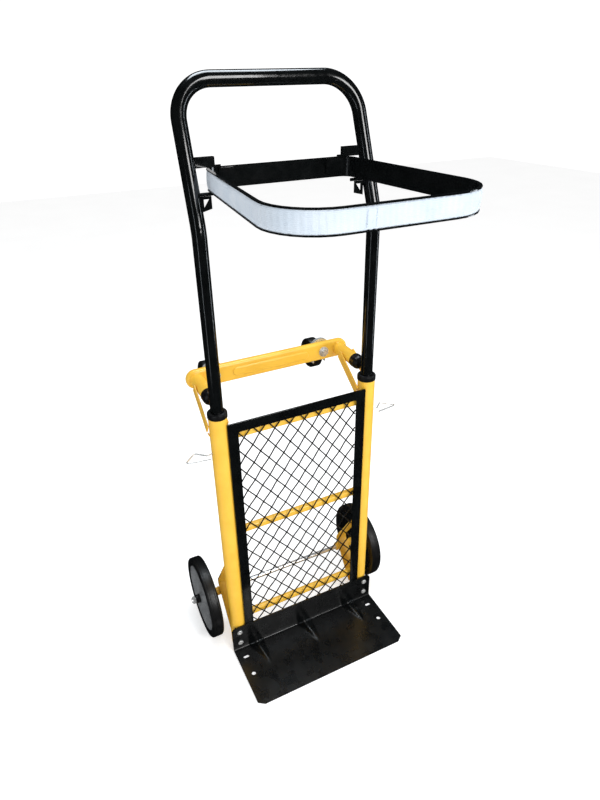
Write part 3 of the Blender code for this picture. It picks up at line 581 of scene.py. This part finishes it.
def seam_share(point):
    """1 on the overlap at the ring's front, falling to 0 past its edges."""
    if point.y >= Y0 - 0.2:
        return 0.0
    return max(0.0, 1.0 - (abs(point.x - SEAM_X) / SEAM_HALF) ** 4)


def build_elastic(mats):
    """White elastic in the hoop's channel: gathered by its own pull, with one sewn overlap."""
    corners = [(-0.119, HOOP_BACK, 0.018), (-0.151, HOOP_FRONT, 0.068),
               (0.151, HOOP_FRONT, 0.068), (0.119, HOOP_BACK, 0.018)]
    line, total = evenly(rounded_loop(corners, 40), 0.0018)
    top, bottom = RING_TOP - GROOVE_LIP, RING_BOTTOM + GROOVE_LIP
    rows = BAND_ROWS
    bm = bmesh.new()
    uv_of = {}
    outer, inner = [], []

    def corner(spot, z, along, uv_z):
        vert = bm.verts.new(drooped(Vector((spot.x, spot.y, z))))
        uv_of[vert] = (along, uv_z)
        return vert

    for i, (point, along) in enumerate(line):
        tangent = (line[(i + 1) % len(line)][0] - line[i - 1][0]).normalized()
        out = Vector((tangent.y, -tangent.x))
        if out.dot(point - Vector((0, Y0 - 0.12))) < 0:
            out = -out
        column = []
        for row in range(rows + 1):
            v = row / rows
            z = bottom + (top - bottom) * v
            ragged = 0.0008 * seam_share(point) * math.sin(point.x * 900) if row in (0, rows) else 0.0
            column.append(corner(point + out * band_thickness(point, along, v), z + ragged, along, z))
        outer.append(column)
        inner.append([corner(point + out * 0.0004, z, along, z) for z in (bottom, top)])
    layer = bm.loops.layers.uv.new("length_height")
    count = len(line)
    for i in range(count):
        j = (i + 1) % count
        for row in range(rows):
            bm.faces.new((outer[i][row], outer[j][row], outer[j][row + 1], outer[i][row + 1]))
        bm.faces.new((outer[i][0], inner[i][0], inner[j][0], outer[j][0]))
        bm.faces.new((outer[i][rows], outer[j][rows], inner[j][1], inner[i][1]))
        bm.faces.new((inner[i][0], inner[i][1], inner[j][1], inner[j][0]))
    lay_uv(bm, layer, uv_of, total)
    band = place_mesh("elastic_webbing", bm, mats["elastic"], "bag_ring", 70)
    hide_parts("elastic_band")
    build_seam_thread(mats, bottom, top)


def lay_uv(bm, layer, uv_of, total):
    """UV in metres: length along the band, and height. The last face joins the band's end to its start."""
    for face in bm.faces:
        lengths = [uv_of[vert][0] for vert in face.verts]
        wraps = max(lengths) - min(lengths) > total / 2
        for loop in face.loops:
            u, v = uv_of[loop.vert]
            loop[layer].uv = (u + total if wraps and u < total / 2 else u, v)


def build_seam_thread(mats, bottom, top):
    """Two zigzag rows of stitching down the overlap."""
    thread = bmesh.new()
    steps, margin, swing = 14, 0.003, 0.0009
    for shift in STITCH_ROWS:
        points = []
        for k in range(steps + 1):
            z = bottom + margin + (top - bottom - 2 * margin) * k / steps
            x = SEAM_X + shift + (swing if k % 2 else -swing)
            points.append(drooped(Vector((x, HOOP_FRONT - 0.0046, z))))
        tube(points, 0.00028, 6, bm=thread)
    place_mesh("seam_thread", thread, mats["elastic"], "bag_ring", 60)


# ------------------------------------------------------------------ mesh panel

PITCH_W, PITCH_H, SKEW = 0.0300, 0.0391, 0.038
CROSSING = Vector((0.0114, 0.5322))
WIRE_R = 0.0013
WIRES_EACH_WAY = 40           # more than enough to cross the panel; those outside it are left out
PANEL_BAR = 0.0195            # the frame's flat bar


def build_mesh(mats):
    """Round wires woven over and under each other, held behind the panel's frame."""
    low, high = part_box("wire_mesh")
    margin, weave_depth = 0.001, 0.0008
    centre_y = (low.y + high.y) / 2 + 0.0001
    climb = PITCH_W * SKEW
    half_steps = {"up": Vector((PITCH_W / 2, (PITCH_H + climb) / 2)),
                  "down": Vector((PITCH_W / 2, (-PITCH_H + climb) / 2))}

    def within(spot):
        return (low.x + margin < spot.x < high.x - margin
                and low.z + margin < spot.y < high.z - margin)

    for kind, other, sign in (("up", "down", 1), ("down", "up", -1)):
        step, across = half_steps[kind], half_steps[other]
        bm = bmesh.new()
        for n in range(-WIRES_EACH_WAY, WIRES_EACH_WAY + 1):
            start = CROSSING + across * n
            inside = [k / 4 for k in range(-240, 241) if within(start + step * (k / 4))]
            if len(inside) < 4:
                continue
            points = []
            for k in inside:
                flat = start + step * k
                weave = sign * weave_depth * math.cos(math.pi * (k + n))
                points.append(Vector((flat.x, centre_y + weave, flat.y)))
            tube(points, WIRE_R, 8, bm=bm)
        wires = place_mesh(f"mesh_wires_{kind}", bm, mats["wire"], "frame", 60)
        if kind == "up":
            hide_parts("wire_mesh")


def build_panel_frame(mats):
    low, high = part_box("panel_frame")
    x, z = (low.x + high.x) / 2, (low.z + high.z) / 2
    half_x, half_z = (high.x - low.x) / 2, (high.z - low.z) / 2
    outlines = [rounded_box(x, z, half_x, half_z, 0.0025),
                rounded_box(x, z, half_x - PANEL_BAR, half_z - PANEL_BAR, 0.004)]
    plate = flat_plate("panel_frame_detail", outlines, low.y, high.y, "Y", 0.0006, mats["black"],
                       "frame")
    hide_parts("panel_frame")


# ------------------------------------------------------------------ toe plate

SHEET = 0.003                 # the pressed sheet's thickness
BEND_R = 0.0030
FLANGE_STEPS, BEND_STEPS, FLOOR_STEPS = 12, 8, 26
PLATE_COLUMNS = 150
RIB_CENTRES = (-0.119, -0.002, 0.112)
RIB_HEIGHT, RIB_ON_FLOOR, RIB_ON_FLANGE, RIB_SLANT = 0.0075, 0.060, 0.018, 0.12
RIB_BLEND = 0.05              # ribs near the bend push out between the two faces' normals
SLOT_X, SLOT_Y, SLOT_HALF, SLOT_R = 0.1525, -0.0445, 0.003, 0.0035
HOLE_X, HOLE_Y, HOLE_R = 0.1535, -0.0885, 0.0046
CLIP_X, CLIP_Y = 0.0125, 0.009   # the floor plate's cut corners
FLANGE_CORNER = 0.011
OVERSHOOT = 0.01              # cutters run past the sheet by this


def toe_profile(low, high):
    """Points of the pressed sheet's upper face, from the flange's top to the front edge."""
    face = high.y - SHEET
    drop = high.z - BEND_R - SHEET
    points = [(face, high.z - drop * k / FLANGE_STEPS) for k in range(FLANGE_STEPS + 1)]
    points += arc((face - BEND_R, SHEET + BEND_R), BEND_R, 0, -90, BEND_STEPS)[1:]
    start = points[-1][0]
    points += [(start + (low.y - start) * k / FLOOR_STEPS, SHEET) for k in range(1, FLOOR_STEPS + 1)]
    return [Vector(p) for p in points]


def rib_height(x, reach):
    """How far the sheet is pushed out at a place: x across, reach along it from the bend."""
    best = 0.0
    flat_top = 0.80
    for centre in RIB_CENTRES:
        t = abs(reach) / (RIB_ON_FLOOR if reach > 0 else RIB_ON_FLANGE)
        if t >= 1:
            continue
        width = 0.0125 * (1 - t) + 0.0035
        across = abs(x - centre - RIB_SLANT * reach) / width
        if across < 1:
            best = max(best, RIB_HEIGHT * (1 - t) * min(flat_top, 1 - across) / flat_top)
    return best


def build_toe_plate(mats):
    low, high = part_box("toe_plate")
    line = toe_profile(low, high)
    corner = FLANGE_STEPS + BEND_STEPS // 2
    diagonal = Vector((-0.7071, 0.7071))
    lengths = [0.0]
    for a, b in zip(line, line[1:]):
        lengths.append(lengths[-1] + (b - a).length)
    bm = bmesh.new()
    grid = []
    for c in range(PLATE_COLUMNS + 1):
        x = low.x + (high.x - low.x) * c / PLATE_COLUMNS
        column = []
        for i, point in enumerate(line):
            ahead, behind = line[min(i + 1, len(line) - 1)], line[max(i - 1, 0)]
            along = (ahead - behind).normalized()
            turned = along.y < 0 or along.x < 0
            normal = Vector((along.y, -along.x)) if turned else Vector((-along.y, along.x))
            lift = rib_height(x, lengths[i] - lengths[corner])
            nearness = max(0.0, 1 - (point - line[corner]).length / RIB_BLEND)
            direction = normal.lerp(diagonal, nearness).normalized()
            if direction.x > 0:
                direction.x = -direction.x
            spot = point + direction * lift
            column.append(bm.verts.new((x, spot.x, max(spot.y, SHEET))))
        grid.append(column)
    for a, b in zip(grid, grid[1:]):
        for i in range(len(line) - 1):
            bm.faces.new((a[i], a[i + 1], b[i + 1], b[i]))
    bmesh.ops.recalc_face_normals(bm, faces=bm.faces)
    front_faces = [f for f in bm.faces if f.calc_center_median().y < low.y + 0.02]
    if max(front_faces, key=lambda f: abs(f.normal.z)).normal.z < 0:
        bmesh.ops.reverse_faces(bm, faces=bm.faces)
    mesh = bpy.data.meshes.new("toe_sheet")
    bm.to_mesh(mesh)
    bm.free()
    mesh.materials.append(mats["pressed"])
    plate = bpy.data.objects.new("toe_plate_pressed", mesh)
    bpy.context.scene.collection.objects.link(plate)
    mod = plate.modifiers.new("sheet", "SOLIDIFY")
    mod.thickness = 0.0029        # just inside the CAD's sheet, so it never meets the floor
    mod.offset = -1
    cut_plate(plate, low, high)
    plate.data.shade_smooth()
    plate.data.set_sharp_from_angle(angle=math.radians(40))
    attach(plate, "frame")
    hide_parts("toe_plate")


def prism(outline, start, stop, place):
    """A closed block between two copies of an outline."""
    bm = bmesh.new()
    first = [bm.verts.new(place(u, v, start)) for u, v in outline]
    last = [bm.verts.new(place(u, v, stop)) for u, v in outline]
    bridge(bm, first, last)
    bm.faces.new(first)
    bm.faces.new(last)
    return bm


def cut_plate(plate, low, high):
    """Slots, holes and cut corners."""
    past = OVERSHOOT
    cutters = []
    for _, sign in SIDES:
        slot = [(sign * SLOT_X + u, Y0 + SLOT_Y + v) for u, v in
                arc((SLOT_HALF, 0), SLOT_R, -90, 90, 10) + arc((-SLOT_HALF, 0), SLOT_R, 90, 270, 10)]
        hole = arc((sign * HOLE_X, Y0 + HOLE_Y), HOLE_R, 0, 345, 23)
        x, y = sign * high.x, low.y
        clip = [(x + sign * past, y - past), (x - sign * CLIP_X, y - past), (x - sign * CLIP_X, y),
                (x, y + CLIP_Y), (x + sign * past, y + CLIP_Y)]
        for outline in (slot, hole, clip):
            cutters.append(prism(outline, -past, 2 * past, lambda u, v, w: (u, v, w)))
        corner_x, corner_z = x - sign * FLANGE_CORNER, high.z - FLANGE_CORNER
        outline = arc((corner_x, corner_z), FLANGE_CORNER, 0 if sign > 0 else 180, 90, 10)
        outline += [(corner_x, high.z + past), (x + sign * past, high.z + past), (x + sign * past, corner_z)]
        cutters.append(prism(outline, high.y - 2 * past, high.y + past, lambda u, v, w: (u, w, v)))
    for i, bm in enumerate(cutters):
        bmesh.ops.recalc_face_normals(bm, faces=bm.faces)
        mesh = bpy.data.meshes.new(f"cut_{i}")
        bm.to_mesh(mesh)
        bm.free()
        tool = bpy.data.objects.new(f"cut_{i}", mesh)
        bpy.context.scene.collection.objects.link(tool)
        mod = plate.modifiers.new(f"cut_{i}", "BOOLEAN")
        mod.operation = "DIFFERENCE"
        mod.object = tool
    applied(plate)
    for i in range(len(cutters)):
        bpy.data.objects.remove(bpy.data.objects[f"cut_{i}"])


def build_toe_bolts(mats):
    """Button heads with a round socket recess, seated on the flange's front."""
    head = 0.0058
    for side, _ in SIDES:
        for level in ("low", "high"):
            node = f"toe_bolt_{side}_{level}"
            low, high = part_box(node)
            centre = (low + high) / 2
            seat = high.y - 0.0095
            dome = [(head * math.cos(math.radians(a)), -0.0008 - 0.0026 * math.sin(math.radians(a)))
                    for a in range(0, 66, 8)]
            lip = dome[-1][1]
            socket = [(0.0021, lip + 0.00005), (0.0019, lip + 0.0019), (0.0004, lip + 0.0024)]
            under = [(0.0003, 0.0004), (head - 0.0003, 0.0)]
            bm = lathe(under + dome + socket, 30, "Y", (centre.x, seat, centre.z), closed=True)
            bolt = place_mesh(f"button_bolt_{side}_{level}", bm, mats["zinc"], "frame", 50)
            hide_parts(node)


# ------------------------------------------------------------------ wheels

TYRE_SHOULDER = 0.0052
AXLE_HOLE = 0.0054
DISH = [(0.0140, 0.0050), (0.0200, 0.0042), (0.0300, 0.0030), (0.0460, 0.0030), (0.0590, 0.0042),
        (0.0630, 0.0066), (0.0660, 0.0094), (0.0685, 0.0108), (0.0712, 0.0106), (0.0719, 0.0092)]
INWARD_BOSS = [(AXLE_HOLE, 0.0133), (0.0100, 0.0133), (0.0108, 0.0125), (0.0120, 0.0066)]
OUTWARD_BOSS = [(AXLE_HOLE, 0.0125), (0.0110, 0.0118), (0.0125, 0.0066)]
BUSH = [(AXLE_HOLE, 0.0122), (0.0098, 0.0122), (0.0102, 0.0130), (0.0102, 0.0148), (0.0094, 0.0154),
        (0.0094, 0.0212), (0.0088, 0.0218), (AXLE_HOLE, 0.0218)]
DIMPLE = [(0.0068, 0.0020), (0.0064, 0.0044), (0.0050, 0.0054), (0.0010, 0.0056)]
DIMPLE_COUNT, DIMPLE_CIRCLE = 4, 0.0445


def build_wheels(mats):
    """Rubber tyre, dished disc with a rolled rim, four raised dimples on both faces, and a bush."""
    for side, sign in SIDES:
        centre = middle(f"wheel_tyre_{side}")
        low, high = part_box(f"wheel_tyre_{side}")
        half = (high.x - low.x) / 2
        radius = (high.z - low.z) / 2
        body = f"wheel_{side}"
        build_tyre(mats, side, centre, radius, half, body)
        inward = [(r, -sign * h) for r, h in INWARD_BOSS + DISH]
        outward = [(r, sign * h) for r, h in (OUTWARD_BOSS + DISH)[::-1]]
        bm = lathe(inward + outward, 84, "X", centre)
        for face_sign in (1, -1):
            for k in range(DIMPLE_COUNT):
                a = math.radians(45 + 360 / DIMPLE_COUNT * k)
                spot = centre + Vector((0, DIMPLE_CIRCLE * math.cos(a), DIMPLE_CIRCLE * math.sin(a)))
                lathe([(r, face_sign * h) for r, h in DIMPLE], 20, "X", spot, closed=False, bm=bm)
        hub = place_mesh(f"disc_{side}", bm, mats["disc"], body, 40)
        hub.data.materials.append(mats["black"])
        for face in hub.data.polygons:
            if sign * (face.center.x - centre.x) < 0:      # the inner face takes the black gloss material, darker than the outer face
                face.material_index = 1
        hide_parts(f"wheel_hub_{side}")
        bush = lathe([(r, sign * h) for r, h in BUSH], 32, "X", centre)
        place_mesh(f"hub_bush_{side}", bush, mats["plastic"], body, 40)


def build_tyre(mats, side, centre, radius, half, body):
    """Side wall, round shoulder, one groove beside the tread's edge, and the same mirrored."""
    wall = [(0.0724, 0.0095), (0.0740, 0.0112), (0.0755, 0.0112), (0.0765, 0.0118), (0.0800, 0.01225),
            (radius - TYRE_SHOULDER, half)]
    shoulder = arc((radius - TYRE_SHOULDER, half - TYRE_SHOULDER), TYRE_SHOULDER, 80, 10, 7)
    groove = [(radius - 0.0002, 0.0062), (radius - 0.0008, 0.0057), (radius - 0.0002, 0.0052),
              (radius, 0.0020), (radius, 0.0004)]
    one_side = wall + shoulder + groove
    profile = one_side + [(r, -h) for r, h in one_side[::-1]]
    tyre = place_mesh(f"tyre_{side}", lathe(profile, 96, "X", centre), mats["rubber"], body, 40)
    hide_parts(f"wheel_tyre_{side}")


def build_caster_wheels(mats):
    """Solid wheels with a hub boss and a ring-shaped hollow in each face."""
    shoulder = 0.0040
    for side, _ in SIDES:
        node = f"caster_wheel_{side}"
        centre = middle(node)
        low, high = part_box(node)
        half = (high.x - low.x) / 2
        radius = (high.z - low.z) / 2
        flat, hollow = half - 0.0002, half - 0.0030
        face = [(0.0029, flat), (0.0078, flat), (0.0085, half - 0.0012), (0.0092, hollow),
                (0.0185, hollow), (0.0192, half - 0.0012), (radius - 0.0045, flat)]
        face += arc((radius - shoulder, half - shoulder), shoulder, 80, 8, 6)
        profile = face + [(r, -h) for r, h in face[::-1]]
        wheel = place_mesh(f"caster_tyre_{side}", lathe(profile, 64, "X", centre), mats["rubber"],
                           f"caster_wheel_{side}", 40)
        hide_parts(node)


# ------------------------------------------------------------------ frame details

def build_rear_bar(mats):
    """A flattened tube with a raised panel pressed into its front."""
    low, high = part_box("rear_cross_bar")
    x, z = (low.x + high.x) / 2, (low.z + high.z) / 2
    half_x, half_z = (high.x - low.x) / 2, (high.z - low.z) / 2
    thickness, overlap = 0.014, 0.0025
    front = high.y - thickness
    outline = rounded_box(x, z, half_x, half_z, half_z - 0.0005, 12)
    bar = flat_plate("rear_bar_detail", [outline], front, high.y, "Y", 0.0050, mats["yellow"],
                     "frame")
    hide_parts("rear_cross_bar")
    bead_half_x, bead_half_z = 0.080, 0.0090
    outline = rounded_box(x, z, bead_half_x, bead_half_z, bead_half_z - 0.0002, 12)
    flat_plate("rear_bar_bead", [outline], low.y, front + overlap, "Y", 0.0026, mats["yellow"],
               "frame")


def build_handle(mats):
    """The bent handle tube, drawn finely."""
    low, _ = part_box("handle_tube")
    top_y = Y0 + (GRIP_Z - LEG_BEND_Z) * math.tan(LEAN)
    corners = [((-TUBE_X, Y0, low.z), 0), ((-TUBE_X, Y0, LEG_BEND_Z), LEG_BEND_R),
               ((-GRIP_HALF, top_y, GRIP_Z), CORNER_R), ((GRIP_HALF, top_y, GRIP_Z), CORNER_R),
               ((TUBE_X, Y0, LEG_BEND_Z), LEG_BEND_R), ((TUBE_X, Y0, low.z), 0)]
    grip = place_mesh("handle_bow", tube(bent_path(corners, 22), LEG_R, 32), mats["black"], "handle",
                      50)
    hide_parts("handle_tube")


def build_welds(mats):
    for bar in ("top", "middle", "bottom"):
        for side, sign in SIDES:
            build_bar_weld(mats, bar, side, sign)
    for side, sign in SIDES:
        arm = middle(f"rear_arm_{side}")
        _, arm_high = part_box(f"rear_arm_{side}")
        weld(f"arm_weld_{side}", ring_points((arm.x, arm_high.y - 0.0004, arm.z), 0.0127, "Y"), 0.0014,
             "frame", mats["yellow"])
        build_sleeve_welds(mats, side, sign)
        build_strap_welds(mats, side, sign)
        build_strut_welds(mats, side, sign)


def build_bar_weld(mats, bar, side, sign):
    """All round a cross bar's end, where it meets the side tube's curve."""
    low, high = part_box(f"cross_bar_{bar}")
    y_mid, z_mid = (low.y + high.y) / 2, (low.z + high.z) / 2
    count = 28
    points = []
    for k in range(count):
        a = 2 * math.pi * k / count
        y = y_mid + (high.y - low.y) / 2 * math.cos(a)
        reach = math.sqrt(max(0.0, TUBE_R ** 2 - (y - Y0) ** 2))
        points.append(Vector((sign * (TUBE_X - reach), y, z_mid + (high.z - low.z) / 2 * math.sin(a))))
    weld(f"bar_weld_{bar}_{side}", points, 0.0013, "frame", mats["yellow"])


def build_sleeve_welds(mats, side, sign):
    """Over the axle's sleeve, beside both edges of its bracket."""
    low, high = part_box(f"axle_sleeve_{side}")
    sleeve = (low + high) / 2
    for edge, name in ((-1, "in"), (1, "out")):
        centre = (sign * TUBE_X + edge * 0.0131, sleeve.y, sleeve.z)
        weld(f"sleeve_weld_{side}_{name}", ring_points(centre, 0.0092, "X", 30, -40, 140), 0.0012,
             "frame", mats["yellow"], False)


def build_strap_welds(mats, side, sign):
    """Upright beads where the wheel bracket's strap lies on the tube's back."""
    offset, half_length, steps = 0.0100, 0.008, 14
    reach = math.sqrt(TUBE_R ** 2 - offset ** 2)
    for end, z in (("top", 0.2080), ("low", 0.0340)):
        for edge, name in ((-1, "in"), (1, "out")):
            points = [Vector((sign * TUBE_X + edge * offset, Y0 + reach + 0.0008,
                              z - half_length + 2 * half_length * k / steps)) for k in range(steps + 1)]
            weld(f"strap_weld_{side}_{end}_{name}", points, 0.0012, "frame", mats["yellow"], False)


def build_strut_welds(mats, side, sign):
    """Short beads on each side of the tube, just below the struts' lower ends."""
    half_length, steps = 0.006, 12
    for place, inward in (("inner", -1), ("outer", 1)):
        x = sign * (TUBE_X + inward * (TUBE_R + 0.0006))
        points = [Vector((x, Y0 + 0.0045 - half_length + 2 * half_length * k / steps,
                          0.5425 + 0.0015 * math.sin(k))) for k in range(steps + 1)]
        weld(f"strut_weld_{side}_{place}", points, 0.0011, "frame", mats["yellow"], False)


def build_refined_plates(mats):
    """Flat and turned CAD nodes that need only their edges rounded: body, material, slot, rounding."""
    for side, _ in SIDES:
        for node, body, mat, slot, width in (
                (f"strut_{side}_inner", "frame", "yellow", "yellow_paint", 0.0009),
                (f"strut_{side}_outer", "frame", "yellow", "yellow_paint", 0.0009),
                (f"wheel_bracket_{side}", "frame", "yellow", "yellow_paint", 0.0006),
                (f"ring_rest_gusset_{side}", "handle", "black", "black_paint", 0.0003),
                (f"ring_tab_{side}", "bag_ring", "black", "black_paint", 0.0004),
                (f"caster_nut_{side}", "frame", "zinc", "zinc", 0.0004),
                (f"axle_nut_{side}", "frame", "zinc", "zinc", 0.0004)):
            refined(node, body, mats[mat], width)


# ------------------------------------------------------------------ all together

def dress_cad(mats):
    """Give every CAD part that stays in view its finish."""
    finish = {"yellow_paint": "yellow", "black_paint": "black", "black_wire": "wire",
              "black_plastic": "plastic", "zinc": "zinc", "chrome": "chrome", "rubber": "rubber",
              "grey_steel": "disc", "elastic": "elastic"}
    for part in frame["record"]["subparts"]:
        mesh = frame["nodes"][part["node"]].data
        mesh.materials.clear()
        mesh.materials.append(mats[finish[part["material_slot"]]])


def main():
    make_camera()
    make_stage()
    mats = {"yellow": powder_yellow(), "black": gloss_black(), "pressed": pressed_black(),
            "plastic": moulded_black(), "wire": dipped_wire(), "zinc": zinc_plate(), "chrome": chrome(),
            "rubber": tyre_rubber(), "disc": silver_disc(), "elastic": elastic_webbing()}
    dress_cad(mats)
    build_elastic(mats)
    build_mesh(mats)
    build_panel_frame(mats)
    build_toe_plate(mats)
    build_toe_bolts(mats)
    build_wheels(mats)
    build_caster_wheels(mats)
    build_rear_bar(mats)
    build_handle(mats)
    build_refined_plates(mats)
    build_welds(mats)


main()
